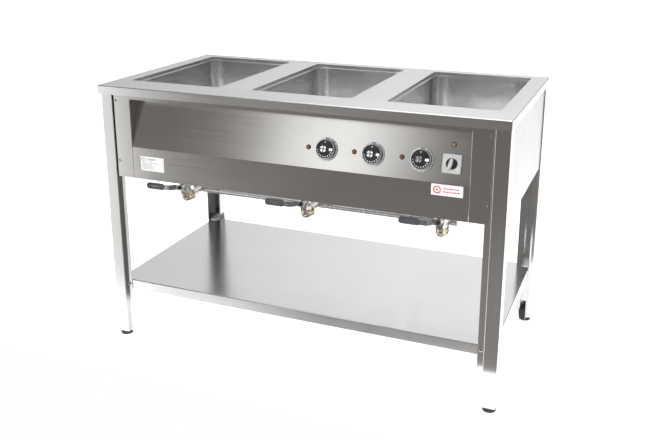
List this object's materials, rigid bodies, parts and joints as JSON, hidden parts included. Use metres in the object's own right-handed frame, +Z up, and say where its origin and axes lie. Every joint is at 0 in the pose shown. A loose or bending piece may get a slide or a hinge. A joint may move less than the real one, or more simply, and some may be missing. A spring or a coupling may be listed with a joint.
{
  "type": "steam table unit",
  "caption": "Free-standing electric steam table on an open stand, with sunken wet wells, a sloping control panel in a recessed front, drain valves beneath and an undershelf.",
  "frame": {"origin": "on the floor under the middle of the worktop", "axes": "+X to the right along the front, +Y from the front to the back, +Z up"},
  "size_m": [1.25, 0.65, 0.835],
  "materials": {
    "worktop_steel": "satin, brushed along each rail",
    "well_steel": "pressed, half bright",
    "panel_steel": "brushed along its length",
    "frame_steel": "brushed upright",
    "shelf_steel": "satin",
    "screw_steel": "bright",
    "drain_steel": "polished pipe",
    "heater_steel": "dull sheath",
    "valve_nickel": "nickel plated",
    "valve_chrome": "polished",
    "lever_steel": "plated",
    "elbow_brass": "cast and machined",
    "knob_black": "moulded, half gloss",
    "black_plastic": "moulded",
    "inner_plastic": "moulded",
    "grip_grey": "dipped sleeve",
    "scale_silver": "printed",
    "amber_lens": "clear amber",
    "label_white": "printed film",
    "foot_plastic": "moulded"
  },
  "bodies": {
    "stand": {"base_pan": "frame_steel", "cable_gland": "black_plastic", "control_panel": "panel_steel", "cover_screws": "screw_steel", "drain_elbows": "elbow_brass", "drain_manifold": "drain_steel", "drain_spouts": "drain_steel", "flange_screws": "screw_steel", "foot_sockets": "foot_plastic", "front_frame": "panel_steel", "heaters": "heater_steel", "knob_scale_rings": "scale_silver", "label_plates": "label_white", "lamp_bodies": "black_plastic", "lamp_lenses": "amber_lens", "leg_back_left": "frame_steel", "leg_back_right": "frame_steel", "leg_front_left": "frame_steel", "leg_front_right": "frame_steel", "rear_panel": "frame_steel", "shelf": "shelf_steel", "shelf_screws": "screw_steel", "shelf_stiffeners": "shelf_steel", "side_panel_left": "frame_steel", "side_panel_right": "frame_steel", "switch_body": "black_plastic", "switch_plate": "scale_silver", "terminal_block": "inner_plastic", "thermostats": "inner_plastic", "valve_body_left": "valve_nickel", "valve_body_middle": "valve_nickel", "valve_body_right": "valve_nickel", "well_left": "well_steel", "well_middle": "well_steel", "well_right": "well_steel", "worktop": "worktop_steel"},
    "knob_left": {"knob_left": "knob_black", "spindle_left": "screw_steel"},
    "valve_left": {"valve_ball_left": "valve_chrome", "valve_lever_left": "lever_steel", "valve_grip_left": "grip_grey", "lever_nut_left": "lever_steel"},
    "knob_middle": {"knob_middle": "knob_black", "spindle_middle": "screw_steel"},
    "valve_middle": {"valve_ball_middle": "valve_chrome", "valve_lever_middle": "lever_steel", "valve_grip_middle": "grip_grey", "lever_nut_middle": "lever_steel"},
    "knob_right": {"knob_right": "knob_black", "spindle_right": "screw_steel"},
    "valve_right": {"valve_ball_right": "valve_chrome", "valve_lever_right": "lever_steel", "valve_grip_right": "grip_grey", "lever_nut_right": "lever_steel"},
    "main_switch": {"switch_knob": "knob_black"},
    "foot_front_left": {"foot_front_left": "foot_plastic"},
    "foot_front_right": {"foot_front_right": "foot_plastic"},
    "foot_back_right": {"foot_back_right": "foot_plastic"},
    "foot_back_left": {"foot_back_left": "foot_plastic"}
  },
  "joints": [
    {"name": "thermostat_left_turn", "type": "hinge", "parent": "stand", "child": "knob_left", "pos_m": [0.114, -0.29385, 0.70264], "axis": [0, 0.9636, -0.2672], "range_deg": [0, 270]},
    {"name": "thermostat_middle_turn", "type": "hinge", "parent": "stand", "child": "knob_middle", "pos_m": [0.2505, -0.29385, 0.70264], "axis": [0, 0.9636, -0.2672], "range_deg": [0, 270]},
    {"name": "thermostat_right_turn", "type": "hinge", "parent": "stand", "child": "knob_right", "pos_m": [0.387, -0.29385, 0.70264], "axis": [0, 0.9636, -0.2672], "range_deg": [0, 270]},
    {"name": "main_switch_turn", "type": "hinge", "parent": "stand", "child": "main_switch", "pos_m": [0.4695, -0.29465, 0.69975], "axis": [0, 0.9636, -0.2672], "range_deg": [0, 90]},
    {"name": "valve_left_turn", "type": "hinge", "parent": "stand", "child": "valve_left", "pos_m": [-0.418, -0.185, 0.503], "axis": [0, -1, 0], "range_deg": [0, 90]},
    {"name": "valve_middle_turn", "type": "hinge", "parent": "stand", "child": "valve_middle", "pos_m": [0, -0.185, 0.503], "axis": [0, -1, 0], "range_deg": [0, 90]},
    {"name": "valve_right_turn", "type": "hinge", "parent": "stand", "child": "valve_right", "pos_m": [0.418, -0.185, 0.503], "axis": [0, -1, 0], "range_deg": [0, 90]},
    {"name": "foot_front_left_height", "type": "slide", "parent": "stand", "child": "foot_front_left", "axis": [0, 0, -1], "range_m": [0, 0.02]},
    {"name": "foot_front_right_height", "type": "slide", "parent": "stand", "child": "foot_front_right", "axis": [0, 0, -1], "range_m": [0, 0.02]},
    {"name": "foot_back_right_height", "type": "slide", "parent": "stand", "child": "foot_back_right", "axis": [0, 0, -1], "range_m": [0, 0.02]},
    {"name": "foot_back_left_height", "type": "slide", "parent": "stand", "child": "foot_back_left", "axis": [0, 0, -1], "range_m": [0, 0.02]}
  ]
}
